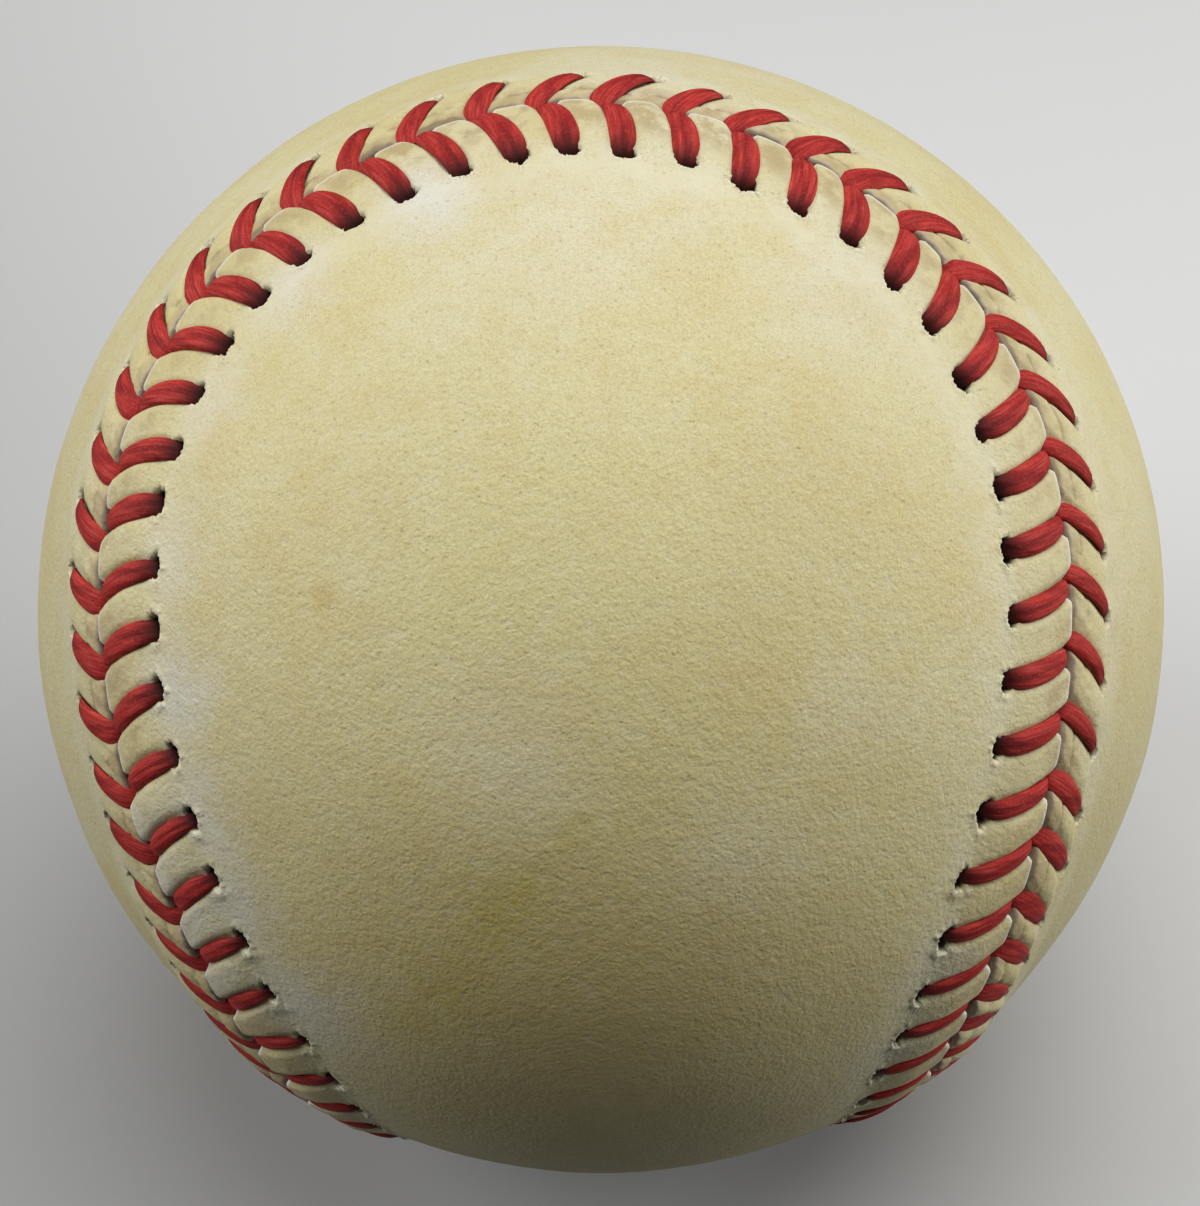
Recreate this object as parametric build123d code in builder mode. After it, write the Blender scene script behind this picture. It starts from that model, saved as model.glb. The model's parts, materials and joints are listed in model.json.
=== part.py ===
"""Leather baseball: cushioned cork pill, yarn windings, two cover panels and a laced seam.

Millimetres, +Z up as the ball lies, origin at the ball's centre. The seam has its own axis, which
passes through the waist of the back panel and is tipped back from +Z.
"""

import os
from math import cos, pi, radians, sin

from build123d import *

# Driving dimensions of the pill
CORK_RADIUS = 10.3
BLACK_RUBBER_WALL = 4.0
WASHER_THICKNESS = 0.8
RED_RUBBER_WALL = 2.4
PILL_CEMENT_COAT = 0.15

# Driving dimensions of the windings, the cement and the cover
FIRST_WINDING_WALL = 14.4
SECOND_WINDING_WALL = 1.75
THIRD_WINDING_WALL = 2.1
FINISHING_WINDING_WALL = 0.5
COVER_CEMENT_COAT = 0.4
LEATHER_THICKNESS = 1.2
LAYER_CLEARANCE = 0.02

# Shape of the seam: half width of a panel's waist as an angle, sideways sway, and tilt of its axis
SEAM_WAIST_ANGLE = 26.0
SEAM_SWAY_SHARE = 0.374
SEAM_TILT = 30.0
SEAM_GAP = 0.6
SEAM_POINTS = 48

# Lacing: each stitch has a leg over each panel, from its hole to the seam
STITCH_COUNT = 108
STITCH_START_SHARE = 0.81
HOLE_TO_SEAM = 4.2
FRONT_LEG_LEAD = 1.3
BACK_LEG_LEAD = 2.9
LEG_WIDTH = 1.4
LEG_CROWN_WIDTH = 0.8
LEG_HEIGHT = 0.8
LEG_END_HEIGHT = 0.35
THREAD_WIDTH = 0.8
THREAD_THICKNESS = 0.42
UNDERPASS_THICKNESS = 0.24
THREAD_CLEARANCE = 0.05
CEMENT_SETBACK = 1.2
CUT_OVERRUN = 1.0

# Radii from the centre outwards
black_rubber_radius = CORK_RADIUS + BLACK_RUBBER_WALL
pill_radius = black_rubber_radius + RED_RUBBER_WALL
pill_cement_radius = pill_radius + PILL_CEMENT_COAT
first_winding_radius = pill_cement_radius + FIRST_WINDING_WALL
second_winding_radius = first_winding_radius + SECOND_WINDING_WALL
third_winding_radius = second_winding_radius + THIRD_WINDING_WALL
wound_radius = third_winding_radius + FINISHING_WINDING_WALL
leather_inner_radius = wound_radius + COVER_CEMENT_COAT
ball_radius = leather_inner_radius + LEATHER_THICKNESS

# Punched holes fit the thread, which lies just over the leather and just under it
hole_length = THREAD_WIDTH + 2 * THREAD_CLEARANCE
hole_breadth = THREAD_THICKNESS + 2 * THREAD_CLEARANCE
leg_radius = ball_radius + THREAD_CLEARANCE
underpass_top = leather_inner_radius - THREAD_CLEARANCE
underpass_bottom = underpass_top - UNDERPASS_THICKNESS

# The seam and the cover lie in a frame that is tipped back about X
seam_rotation = (-SEAM_TILT, 0, 0)
seam_plane = Plane.XY.rotated(seam_rotation)


def seam_point(turn):
    """Point of the seam on the ball's surface, for a turn of 0 to 1 in the direction of sewing."""
    angle = -4 * pi * turn
    latitude = radians(90 - SEAM_WAIST_ANGLE) * cos(angle)
    longitude = angle / 2 + SEAM_SWAY_SHARE * sin(2 * angle)
    direction = Vector(cos(latitude) * sin(longitude), -cos(latitude) * cos(longitude), sin(latitude))
    return seam_plane.from_local_coords(direction * ball_radius)


with BuildLine() as seam_line:
    Spline(*[seam_point(i / SEAM_POINTS) for i in range(SEAM_POINTS)], periodic=True)
seam = seam_line.edge()
stitch_pitch = seam.length / STITCH_COUNT


def seam_frame(share):
    """Outward, forward and front-panel directions at a share of the seam's length."""
    outward = (seam @ (share % 1)).normalized()
    along = seam % (share % 1)
    forward = (along - outward * along.dot(outward)).normalized()
    return outward, forward, outward.cross(forward)


def beside_seam(share, across, radius):
    """Point at a radius, a distance across from the seam: positive is on the front panel's side."""
    outward, _, to_front = seam_frame(share)
    angle = across / ball_radius
    return (outward * cos(angle) + to_front * sin(angle)) * radius


def curtain(across):
    """Radial wall through the cover that follows the seam at a distance across from it."""
    walls = []
    for radius in (wound_radius - CUT_OVERRUN, ball_radius + CUT_OVERRUN):
        points = [beside_seam(i / SEAM_POINTS, across, radius) for i in range(SEAM_POINTS)]
        walls.append(Edge.make_spline(points, periodic=True))
    return Face.make_surface_from_curves(*walls)


def stitch_share(stitch):
    """Place of a stitch's holes, as a share of the seam's length."""
    return (stitch + STITCH_START_SHARE) / STITCH_COUNT


def hole_planes(side):
    """Planes of one panel's punched holes, on the outer face, each turned along the seam."""
    planes = []
    for stitch in range(STITCH_COUNT):
        origin = beside_seam(stitch_share(stitch), side * HOLE_TO_SEAM, ball_radius)
        _, forward, _ = seam_frame(stitch_share(stitch))
        planes.append(Plane(origin=origin, x_dir=forward, z_dir=origin.normalized()))
    return planes


os.makedirs("parts", exist_ok=True)

# Pill: the cork core
with BuildPart() as cork_core:
    Sphere(CORK_RADIUS)
cork_core.part.label = "cork_core"
export_step(cork_core.part, "parts/cork_core.step")

# Pill: two black rubber half shells, rim to rim across the washer
with BuildPart() as black_rubber_shell_upper:
    Sphere(black_rubber_radius)
    Sphere(CORK_RADIUS + LAYER_CLEARANCE, mode=Mode.SUBTRACT)
    split(bisect_by=Plane.XY.offset(WASHER_THICKNESS / 2), keep=Keep.TOP)
black_rubber_shell_upper.part.label = "black_rubber_shell_upper"
export_step(black_rubber_shell_upper.part, "parts/black_rubber_shell_upper.step")

with BuildPart() as black_rubber_shell_lower:
    add(black_rubber_shell_upper.part)
    mirror(about=Plane.XY, mode=Mode.REPLACE)
black_rubber_shell_lower.part.label = "black_rubber_shell_lower"
export_step(black_rubber_shell_lower.part, "parts/black_rubber_shell_lower.step")

# Pill: the washer fills the joint between the rims
with BuildPart() as red_rubber_washer:
    Sphere(black_rubber_radius)
    Sphere(CORK_RADIUS + LAYER_CLEARANCE, mode=Mode.SUBTRACT)
    split(bisect_by=Plane.XY.offset(WASHER_THICKNESS / 2), keep=Keep.BOTTOM)
    split(bisect_by=Plane.XY.offset(-WASHER_THICKNESS / 2), keep=Keep.TOP)
red_rubber_washer.part.label = "red_rubber_washer"
export_step(red_rubber_washer.part, "parts/red_rubber_washer.step")

# Pill: the moulded red rubber layer
with BuildPart() as red_rubber_layer:
    Sphere(pill_radius)
    Sphere(black_rubber_radius + LAYER_CLEARANCE, mode=Mode.SUBTRACT)
red_rubber_layer.part.label = "red_rubber_layer"
export_step(red_rubber_layer.part, "parts/red_rubber_layer.step")

# Cement that holds the first turns of yarn
with BuildPart() as pill_cement_coat:
    Sphere(pill_cement_radius)
    Sphere(pill_radius + LAYER_CLEARANCE, mode=Mode.SUBTRACT)
pill_cement_coat.part.label = "pill_cement_coat"
export_step(pill_cement_coat.part, "parts/pill_cement_coat.step")

# Windings: each is a hollow ball of yarn on the one below
with BuildPart() as first_winding:
    Sphere(first_winding_radius)
    Sphere(pill_cement_radius + LAYER_CLEARANCE, mode=Mode.SUBTRACT)
first_winding.part.label = "first_winding"
export_step(first_winding.part, "parts/first_winding.step")

with BuildPart() as second_winding:
    Sphere(second_winding_radius)
    Sphere(first_winding_radius + LAYER_CLEARANCE, mode=Mode.SUBTRACT)
second_winding.part.label = "second_winding"
export_step(second_winding.part, "parts/second_winding.step")

with BuildPart() as third_winding:
    Sphere(third_winding_radius)
    Sphere(second_winding_radius + LAYER_CLEARANCE, mode=Mode.SUBTRACT)
third_winding.part.label = "third_winding"
export_step(third_winding.part, "parts/third_winding.step")

with BuildPart() as finishing_winding:
    Sphere(wound_radius)
    Sphere(third_winding_radius + LAYER_CLEARANCE, mode=Mode.SUBTRACT)
finishing_winding.part.label = "finishing_winding"
export_step(finishing_winding.part, "parts/finishing_winding.step")

# Cement under each panel stops short of the holes, so the thread can pass below the leather
with BuildPart() as cover_cement_front:
    Sphere(leather_inner_radius - LAYER_CLEARANCE, rotation=seam_rotation)
    Sphere(wound_radius + LAYER_CLEARANCE, rotation=seam_rotation, mode=Mode.SUBTRACT)
    split(bisect_by=curtain(HOLE_TO_SEAM + CEMENT_SETBACK), keep=Keep.BOTTOM)
cover_cement_front.part.label = "cover_cement_front"
export_step(cover_cement_front.part, "parts/cover_cement_front.step")

with BuildPart() as cover_cement_back:
    Sphere(leather_inner_radius - LAYER_CLEARANCE, rotation=seam_rotation)
    Sphere(wound_radius + LAYER_CLEARANCE, rotation=seam_rotation, mode=Mode.SUBTRACT)
    split(bisect_by=curtain(-HOLE_TO_SEAM - CEMENT_SETBACK), keep=Keep.TOP)
cover_cement_back.part.label = "cover_cement_back"
export_step(cover_cement_back.part, "parts/cover_cement_back.step")

# Cover: two figure-eight panels that meet along the seam, each with its row of punched holes
with BuildPart() as cover_panel_front:
    Sphere(ball_radius, rotation=seam_rotation)
    Sphere(leather_inner_radius, rotation=seam_rotation, mode=Mode.SUBTRACT)
    split(bisect_by=curtain(SEAM_GAP / 2), keep=Keep.BOTTOM)
    with BuildSketch(*hole_planes(1)):
        Rectangle(hole_length, hole_breadth)
    extrude(amount=LEATHER_THICKNESS + CUT_OVERRUN, both=True, mode=Mode.SUBTRACT)
cover_panel_front.part.label = "cover_panel_front"
export_step(cover_panel_front.part, "parts/cover_panel_front.step")

with BuildPart() as cover_panel_back:
    Sphere(ball_radius, rotation=seam_rotation)
    Sphere(leather_inner_radius, rotation=seam_rotation, mode=Mode.SUBTRACT)
    split(bisect_by=curtain(-SEAM_GAP / 2), keep=Keep.TOP)
    with BuildSketch(*hole_planes(-1)):
        Rectangle(hole_length, hole_breadth)
    extrude(amount=LEATHER_THICKNESS + CUT_OVERRUN, both=True, mode=Mode.SUBTRACT)
cover_panel_back.part.label = "cover_panel_back"
export_step(cover_panel_back.part, "parts/cover_panel_back.step")


def leg_edges(side):
    """Sections of one leg on the front (1) or back (-1) panel, from under its hole to under the seam.

    Each section is the share of the leg's lead that it has reached, and two edges that lie along the
    seam, given as (across, radius, width): first the one on the front panel's winding side.
    """
    hole_near = HOLE_TO_SEAM - THREAD_THICKNESS / 2
    hole_far = HOLE_TO_SEAM + THREAD_THICKNESS / 2
    gap_edge = THREAD_THICKNESS / 2
    end_radius = leg_radius + LEG_END_HEIGHT
    sections = [
        (0, (hole_near, underpass_top, THREAD_WIDTH), (hole_far, underpass_bottom, THREAD_WIDTH)),
        (0, (hole_near, leg_radius, THREAD_WIDTH), (hole_far, end_radius, THREAD_WIDTH)),
        (1 / 2, (HOLE_TO_SEAM / 2, leg_radius, LEG_WIDTH),
         (HOLE_TO_SEAM / 2, leg_radius + LEG_HEIGHT, LEG_CROWN_WIDTH)),
        (1, (gap_edge, leg_radius, THREAD_WIDTH), (-gap_edge, end_radius, THREAD_WIDTH)),
        (1, (gap_edge, underpass_bottom, THREAD_WIDTH), (-gap_edge, underpass_top, THREAD_WIDTH)),
    ]
    if side > 0:
        return sections
    return [
        (share, (-crown[0], crown[1], crown[2]), (-leather[0], leather[1], leather[2]))
        for share, leather, crown in sections
    ]


def section_corners(share, edges):
    """Four corners of a thread section, each edge centred on its own place across the seam."""
    _, forward, _ = seam_frame(share)
    (first_across, first_radius, first_width), (last_across, last_radius, last_width) = edges
    first = beside_seam(share, first_across, first_radius)
    last = beside_seam(share, last_across, last_radius)
    return [
        first - forward * (first_width / 2),
        first + forward * (first_width / 2),
        last + forward * (last_width / 2),
        last - forward * (last_width / 2),
    ]


def thread_run(first_side):
    """One needle's unbroken thread: a leg on one panel, then under the seam to the next hole opposite."""
    sections = []
    for stitch in range(STITCH_COUNT):
        side = first_side if stitch % 2 == 0 else -first_side
        lead = FRONT_LEG_LEAD if side > 0 else BACK_LEG_LEAD
        for lead_share, *edges in leg_edges(side):
            sections.append(section_corners(stitch_share(stitch) + lead_share * lead / seam.length, edges))
    faces = [Face(Wire.make_polygon(end)) for end in (sections[0], sections[-1])]
    for here, after in zip(sections, sections[1:]):
        for i in range(len(here)):
            corner = (i + 1) % len(here)
            faces.append(Face(Wire.make_polygon([here[i], here[corner], after[corner]])))
            faces.append(Face(Wire.make_polygon([here[i], after[corner], after[i]])))
    centres = [sum(section, Vector()) / len(section) for section in sections]
    length = sum((after - here).length for here, after in zip(centres, centres[1:]))
    print(f"thread run: {length:.0f} mm")
    return Solid(Shell(faces))


# Lacing: the two needles take the legs of each panel in turn
with BuildPart() as seam_thread_first:
    add(thread_run(1))
seam_thread_first.part.label = "seam_thread_first"
export_step(seam_thread_first.part, "parts/seam_thread_first.step")

with BuildPart() as seam_thread_second:
    add(thread_run(-1))
seam_thread_second.part.label = "seam_thread_second"
export_step(seam_thread_second.part, "parts/seam_thread_second.step")

print(f"ball: {2 * pi * ball_radius:.1f} mm round, stitch pitch {stitch_pitch:.2f} mm")
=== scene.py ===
"""Leather baseball: the looks of its cover, its laced seam and the layers inside.

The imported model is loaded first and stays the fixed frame. The two leather panels and the two thread
runs are modelled anew over their nodes, and the layers inside keep their meshes and get finishes.
Sizes are millimetres here, and meshes are written in metres.
"""

import json
import logging
import math
from dataclasses import dataclass, field
from enum import Enum
from typing import Any

import bpy
import numpy as np
from mathutils import Matrix, Vector
from mathutils.geometry import delaunay_2d_cdt


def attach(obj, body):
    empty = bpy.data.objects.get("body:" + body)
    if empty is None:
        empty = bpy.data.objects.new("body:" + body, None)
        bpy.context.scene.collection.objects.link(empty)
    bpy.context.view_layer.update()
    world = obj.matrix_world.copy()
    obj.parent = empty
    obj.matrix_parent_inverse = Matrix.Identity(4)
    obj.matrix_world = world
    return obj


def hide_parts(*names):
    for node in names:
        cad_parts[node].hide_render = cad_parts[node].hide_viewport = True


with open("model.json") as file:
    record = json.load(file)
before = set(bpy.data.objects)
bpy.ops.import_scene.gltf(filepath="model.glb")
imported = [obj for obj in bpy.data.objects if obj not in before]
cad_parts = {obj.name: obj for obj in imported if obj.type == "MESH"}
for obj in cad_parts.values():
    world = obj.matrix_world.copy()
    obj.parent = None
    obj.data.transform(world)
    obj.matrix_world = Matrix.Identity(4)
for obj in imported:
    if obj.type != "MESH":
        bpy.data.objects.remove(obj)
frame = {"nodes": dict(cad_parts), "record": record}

log = logging.getLogger("baseball")

MM = 0.001
BODY = "root"
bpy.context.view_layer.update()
BALL_RADIUS = -frame["record"]["mounts"][0]["pos_m"][2] / MM
LEATHER_THICKNESS = 1.2

Array = np.ndarray
Colour = tuple[float, float, float]
Place = tuple[float, float, float]
Span = tuple[float, float]


class Side(Enum):
    """Which panel lies on that side of the seam."""

    FRONT = 1
    BACK = -1


def smooth_step(low: float, high: float, value: Array) -> Array:
    """Eased step from 0 at low to 1 at high.

    Args:
        low: value where the step starts.
        high: value where the step ends.
        value: places to work it out at.

    Returns:
        The step's height at each place.
    """
    share = np.clip((value - low) / (high - low), 0.0, 1.0)
    return share * share * (3.0 - 2.0 * share)


def bell(offset: Array, width: float, power: float = 2.0) -> Array:
    """Bump of height 1 at offset 0 that falls off over a width; a larger power makes it squarer."""
    return np.exp(-np.abs(offset / width) ** power)


def unit(vectors: Array) -> Array:
    """Vectors of the last axis at length 1."""
    return vectors / np.linalg.norm(vectors, axis=-1, keepdims=True)


def deselect_all() -> None:
    """Leave edit mode and select nothing."""
    if bpy.context.object and bpy.context.object.mode != "OBJECT":
        bpy.ops.object.mode_set(mode="OBJECT")
    bpy.ops.object.select_all(action="DESELECT")


def write_mask(mesh: bpy.types.Mesh, name: str, values: Array) -> None:
    """Store one number per point of a mesh, for its finish to read.

    Args:
        mesh: the mesh that gets the numbers.
        name: the attribute's name.
        values: one number per point.
    """
    layer = mesh.attributes.new(name, "FLOAT", "POINT")
    layer.data.foreach_set("value", np.asarray(values, dtype=np.float32).ravel())


@dataclass
class Seam:
    """The closed seam line between the panels, as places counted in stitches.

    Place 0 is at the first stitch's holes and places grow in the direction of sewing.
    """

    waist_angle: float = 26.0
    sway_share: float = 0.374
    tilt: float = 30.0
    stitches: int = 108
    start_share: float = 0.81
    samples: int = 8640
    nudge: float = 0.1
    marks_per_stitch: int = 20
    length: float = field(init=False)
    pitch: float = field(init=False)

    def __post_init__(self) -> None:
        """Measure the line, so that places can be found by length."""
        self._turns = np.arange(self.samples + 1) / self.samples
        points = self._directions(self._turns) * BALL_RADIUS
        steps = np.linalg.norm(np.diff(points, axis=0), axis=1)
        self._lengths = np.concatenate([[0.0], np.cumsum(steps)])
        self.length = float(self._lengths[-1])
        self.pitch = self.length / self.stitches

    def _directions(self, turn: Array) -> Array:
        """Directions from the ball's centre to the seam.

        Args:
            turn: shares of the way round, from 0 to 1.

        Returns:
            Unit vectors.
        """
        angle = -4 * np.pi * turn
        latitude = np.radians(90 - self.waist_angle) * np.cos(angle)
        longitude = angle / 2 + self.sway_share * np.sin(2 * angle)
        x = np.cos(latitude) * np.sin(longitude)
        y = -np.cos(latitude) * np.cos(longitude)
        z = np.sin(latitude)
        cosine, sine = math.cos(math.radians(self.tilt)), math.sin(math.radians(self.tilt))
        return np.stack([x, y * cosine + z * sine, z * cosine - y * sine], axis=-1)

    def waist(self, side: Side) -> Array:
        """Direction of the middle of a panel's waist."""
        lean = math.radians(self.tilt)
        return -side.value * np.array([0.0, math.sin(lean), math.cos(lean)])

    def frames(self, place: Array) -> tuple[Array, Array, Array]:
        """Directions at places along the seam.

        Args:
            place: places, counted in stitches.

        Returns:
            Unit vectors outwards, forwards along the sewing, and towards the front panel.
        """
        share = ((np.asarray(place) + self.start_share) / self.stitches) % 1.0
        turn = np.interp(share * self.length, self._lengths, self._turns)
        step = self.nudge / self.samples
        outward = self._directions(turn)
        along = self._directions(turn + step) - self._directions(turn - step)
        forward = unit(along - outward * np.sum(along * outward, axis=-1, keepdims=True))
        return outward, forward, np.cross(outward, forward)

    def points(self, place: Array, across: Array, height: Array) -> Array:
        """Points over the ball, beside the seam.

        Args:
            place: places along the seam, counted in stitches.
            across: distance from the seam, positive on the front panel's side.
            height: height over the ball's surface.

        Returns:
            Points, with x, y and z on the last axis.
        """
        outward, _, to_front = self.frames(place)
        angle = np.asarray(across)[..., None] / BALL_RADIUS
        radius = BALL_RADIUS + np.asarray(height)[..., None]
        return (outward * np.cos(angle) + to_front * np.sin(angle)) * radius

    def distance(self, directions: Array) -> tuple[Array, Array]:
        """Distance of directions from the seam, and the side that they are on.

        Args:
            directions: unit vectors from the ball's centre.

        Returns:
            Distance along the surface, and 1 for the front panel or -1 for the back one.
        """
        place = np.arange(self.stitches * self.marks_per_stitch) / self.marks_per_stitch
        outward, _, to_front = self.frames(place)
        closeness = directions @ outward.T
        nearest = np.argmax(closeness, axis=1)
        cosine = np.clip(closeness[np.arange(len(directions)), nearest], -1.0, 1.0)
        return np.arccos(cosine) * BALL_RADIUS, np.sign(np.sum(directions * to_front[nearest], axis=1))


@dataclass
class Leg:
    """The part of a stitch that lies over one panel, from its hole to the seam.

    Each station is (distance from the seam, height, width, thickness) of the thread.
    """

    side: Side
    lead: float
    sweep: float
    stations: tuple[tuple[float, float, float, float], ...]


FRONT_LEG = Leg(
    Side.FRONT,
    lead=1.5,
    sweep=1.5,
    stations=(
        (4.32, -1.32, 0.95, 0.22), (4.40, -0.75, 1.12, 0.44), (4.28, -0.10, 1.28, 0.58),
        (3.80, 0.20, 1.46, 0.70), (3.00, 0.39, 1.58, 0.78), (2.10, 0.50, 1.60, 0.80),
        (1.20, 0.56, 1.48, 0.76), (0.45, 0.50, 1.24, 0.66), (-0.15, 0.24, 0.94, 0.52),
        (-0.48, -0.36, 0.72, 0.40), (-0.30, -1.32, 0.60, 0.22),
    ),
)
BACK_LEG = Leg(
    Side.BACK,
    lead=2.5,
    sweep=0.65,
    stations=(
        (4.30, -1.32, 0.46, 0.22), (4.46, -0.55, 0.50, 0.30), (4.42, 0.18, 0.66, 0.36),
        (3.98, 0.44, 1.02, 0.46), (3.25, 0.50, 1.36, 0.58), (2.45, 0.48, 1.56, 0.68),
        (1.65, 0.40, 1.72, 0.70), (1.00, 0.32, 1.70, 0.66), (0.50, 0.06, 1.50, 0.56),
        (0.22, -0.60, 1.14, 0.40), (0.10, -1.32, 0.80, 0.22),
    ),
)
LEGS = {leg.side: leg for leg in (FRONT_LEG, BACK_LEG)}


@dataclass(frozen=True)
class Zone:
    """A stretch of the seam where something fades in and out again."""

    stitch: float
    reach: float
    amount: float

    def share(self, stitch: Array, count: int) -> Array:
        """How far the zone takes hold at a stitch, from 0 to 1, on a seam of so many stitches."""
        away = (np.asarray(stitch) - self.stitch + count / 2) % count - count / 2
        return bell(away, self.reach)


@dataclass
class Lacing:
    """Where every leg of the seam lies, with the small unevenness of hand sewing."""

    seam: Seam
    hole_to_seam: float = 4.2
    along_spread: float = 0.09
    across_spread: float = 0.12
    lead_spread: float = 0.16
    tight: tuple[Zone, ...] = (Zone(18.0, 4.5, 1.0), Zone(88.0, 3.5, 0.6), Zone(52.0, 7.0, 0.6))
    front_drawn_in: tuple[Zone, ...] = (Zone(102.5, 3.5, -0.55),)
    back_slip: tuple[Zone, ...] = (Zone(101.0, 7.0, -0.55), Zone(90.0, 2.6, -1.05))
    front_breadth: tuple[Zone, ...] = (Zone(105.0, 6.0, 0.12), Zone(95.0, 4.0, -0.07))
    back_breadth: tuple[Zone, ...] = (Zone(95.5, 4.0, -0.26), Zone(88.0, 3.0, 0.16))
    seed: int = 31

    def __post_init__(self) -> None:
        """Draw each hole's own shift and each leg's own lead, for both panels."""
        draw = np.random.default_rng(self.seed)
        count = self.seam.stitches
        self.hole_along: dict[Side, Array] = {}
        self.hole_across: dict[Side, Array] = {}
        self.lead_change: dict[Side, Array] = {}
        for side in Side:
            self.hole_along[side] = draw.normal(0, self.along_spread, count)
            self.hole_across[side] = draw.normal(0, self.across_spread, count)
            self.lead_change[side] = draw.normal(0, self.lead_spread, count)
            self.hole_along[side] += self.slip(side, np.arange(count))
        self.hole_across[Side.FRONT] += self.total(self.front_drawn_in, np.arange(count))

    def total(self, zones: tuple[Zone, ...], stitch: Array) -> Array:
        """What some zones add up to at a stitch."""
        return sum(zone.amount * zone.share(stitch, self.seam.stitches) for zone in zones)

    def tightness(self, stitch: Array) -> Array:
        """How hard the thread was drawn at a stitch, from 0 to 1."""
        return self.total(self.tight, stitch)

    def slip(self, side: Side, stitch: Array) -> Array:
        """How far a panel's holes slipped along the seam at a stitch."""
        return self.total(self.back_slip, stitch) if side is Side.BACK else np.zeros(np.shape(stitch))

    def breadth(self, side: Side, stitch: Array) -> Array:
        """Breadth of a stitch's leg, as a factor."""
        return 1 + self.total(self.front_breadth if side is Side.FRONT else self.back_breadth, stitch)

    def lead_at(self, leg: Leg, stitch: Array, distance: Array) -> Array:
        """How far ahead of the stitch a leg's middle is, at a distance from the seam.

        Args:
            leg: the kind of leg.
            stitch: the stitch's number.
            distance: distance from the seam.

        Returns:
            Lead in millimetres, with the stitch's own unevenness.
        """
        stitch = np.asarray(stitch) % self.seam.stitches
        reached = np.clip(1 - distance / self.hole_to_seam, 0, 1)
        lead = leg.lead + self.lead_change[leg.side][stitch]
        return self.hole_along[leg.side][stitch] * (1 - reached) + lead * reached**leg.sweep


class ShellBuilder:
    """Collects rings of points and caps into one closed mesh, with masks for its finish."""

    MERGE = 1e-9

    def __init__(self, masks: tuple[str, ...], turned: bool) -> None:
        """Start an empty shell.

        Args:
            masks: names of the numbers kept for each point.
            turned: whether the rings run so that faces have to be turned over.
        """
        self.points: list[Array] = []
        self.masks: dict[str, list[Array]] = {name: [] for name in masks}
        self.faces: list[list[int]] = []
        self.turned = turned
        self.count = 0

    def add(self, points: Array, masks: dict[str, Array]) -> Array:
        """Add points.

        Args:
            points: their places.
            masks: their numbers; a mask that is left out is 0.

        Returns:
            The points' numbers in the mesh.
        """
        self.points.append(points)
        for name, values in self.masks.items():
            values.append(np.broadcast_to(masks.get(name, 0.0), len(points)))
        self.count += len(points)
        return np.arange(self.count - len(points), self.count)

    def _keep(self, *corners: Array, flip: bool = False) -> None:
        """Keep faces with these corners, turned over where either the shell is or they are flipped."""
        faces = np.stack(corners, axis=1)
        self.faces.extend((faces[:, ::-1] if self.turned != flip else faces).tolist())

    def bridge(self, first: Array, last: Array) -> None:
        """Join two closed rings of the same count, or of which one has twice as many points.

        Args:
            first: points of the ring that comes first across the shell.
            last: points of the ring that comes next.
        """
        flip = len(last) > len(first)
        fine, coarse = (last, first) if flip else (first, last)
        after_fine, after_coarse = np.roll(fine, -1), np.roll(coarse, -1)
        if len(fine) == len(coarse):
            self._keep(fine, after_fine, after_coarse, coarse)
            return
        even, odd, after = fine[0::2], fine[1::2], after_fine[1::2]
        for corners in ((even, odd, coarse), (odd, after_coarse, coarse), (odd, after, after_coarse)):
            self._keep(*corners, flip=flip)

    def cap(self, ring: Array, inner: Array, middle: Array, outside: bool) -> None:
        """Close a ring on the ball with triangles through points inside it.

        Args:
            ring: points of the ring.
            inner: points that lie inside the ring.
            middle: direction of the middle of what is closed.
            outside: whether the cap faces out of the ball.
        """
        numbers = np.concatenate([ring, inner])
        spots = unit(np.concatenate(self.points)[numbers])
        east = unit(np.cross(middle, [1.0, 0.0, 0.0]))
        north = np.cross(middle, east)
        spread = 1 + spots @ middle
        flat = np.stack([spots @ east / spread, spots @ north / spread], axis=1)
        edges = [(i, (i + 1) % len(ring)) for i in range(len(ring))]
        result = delaunay_2d_cdt([Vector(spot) for spot in flat], edges, [], 1, self.MERGE)
        source = np.array([ids[0] for ids in result[3]])
        faces = numbers[source[np.array(result[2])]]
        self.faces.extend((faces if outside else faces[:, ::-1]).tolist())

    def mesh(self, name: str) -> bpy.types.Mesh:
        """Write the shell as a mesh in metres.

        Args:
            name: the mesh's name.

        Returns:
            The mesh, with its masks as attributes.
        """
        mesh = bpy.data.meshes.new(name)
        mesh.from_pydata((np.concatenate(self.points) * MM).tolist(), [], self.faces)
        for mask, values in self.masks.items():
            write_mask(mesh, mask, np.concatenate(values))
        mesh.update()
        return mesh


class CoverPiece:
    """A modelled piece that takes the place of one CAD node."""

    node: str

    def dress(self, piece: bpy.types.Object, finish: "LeatherFinish | ThreadFinish") -> None:
        """Give the piece its finish and its place in the frame.

        Args:
            piece: the modelled piece.
            finish: its finish.
        """
        piece.data.materials.append(finish.material())
        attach(piece, BODY)
        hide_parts(self.node)


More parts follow.
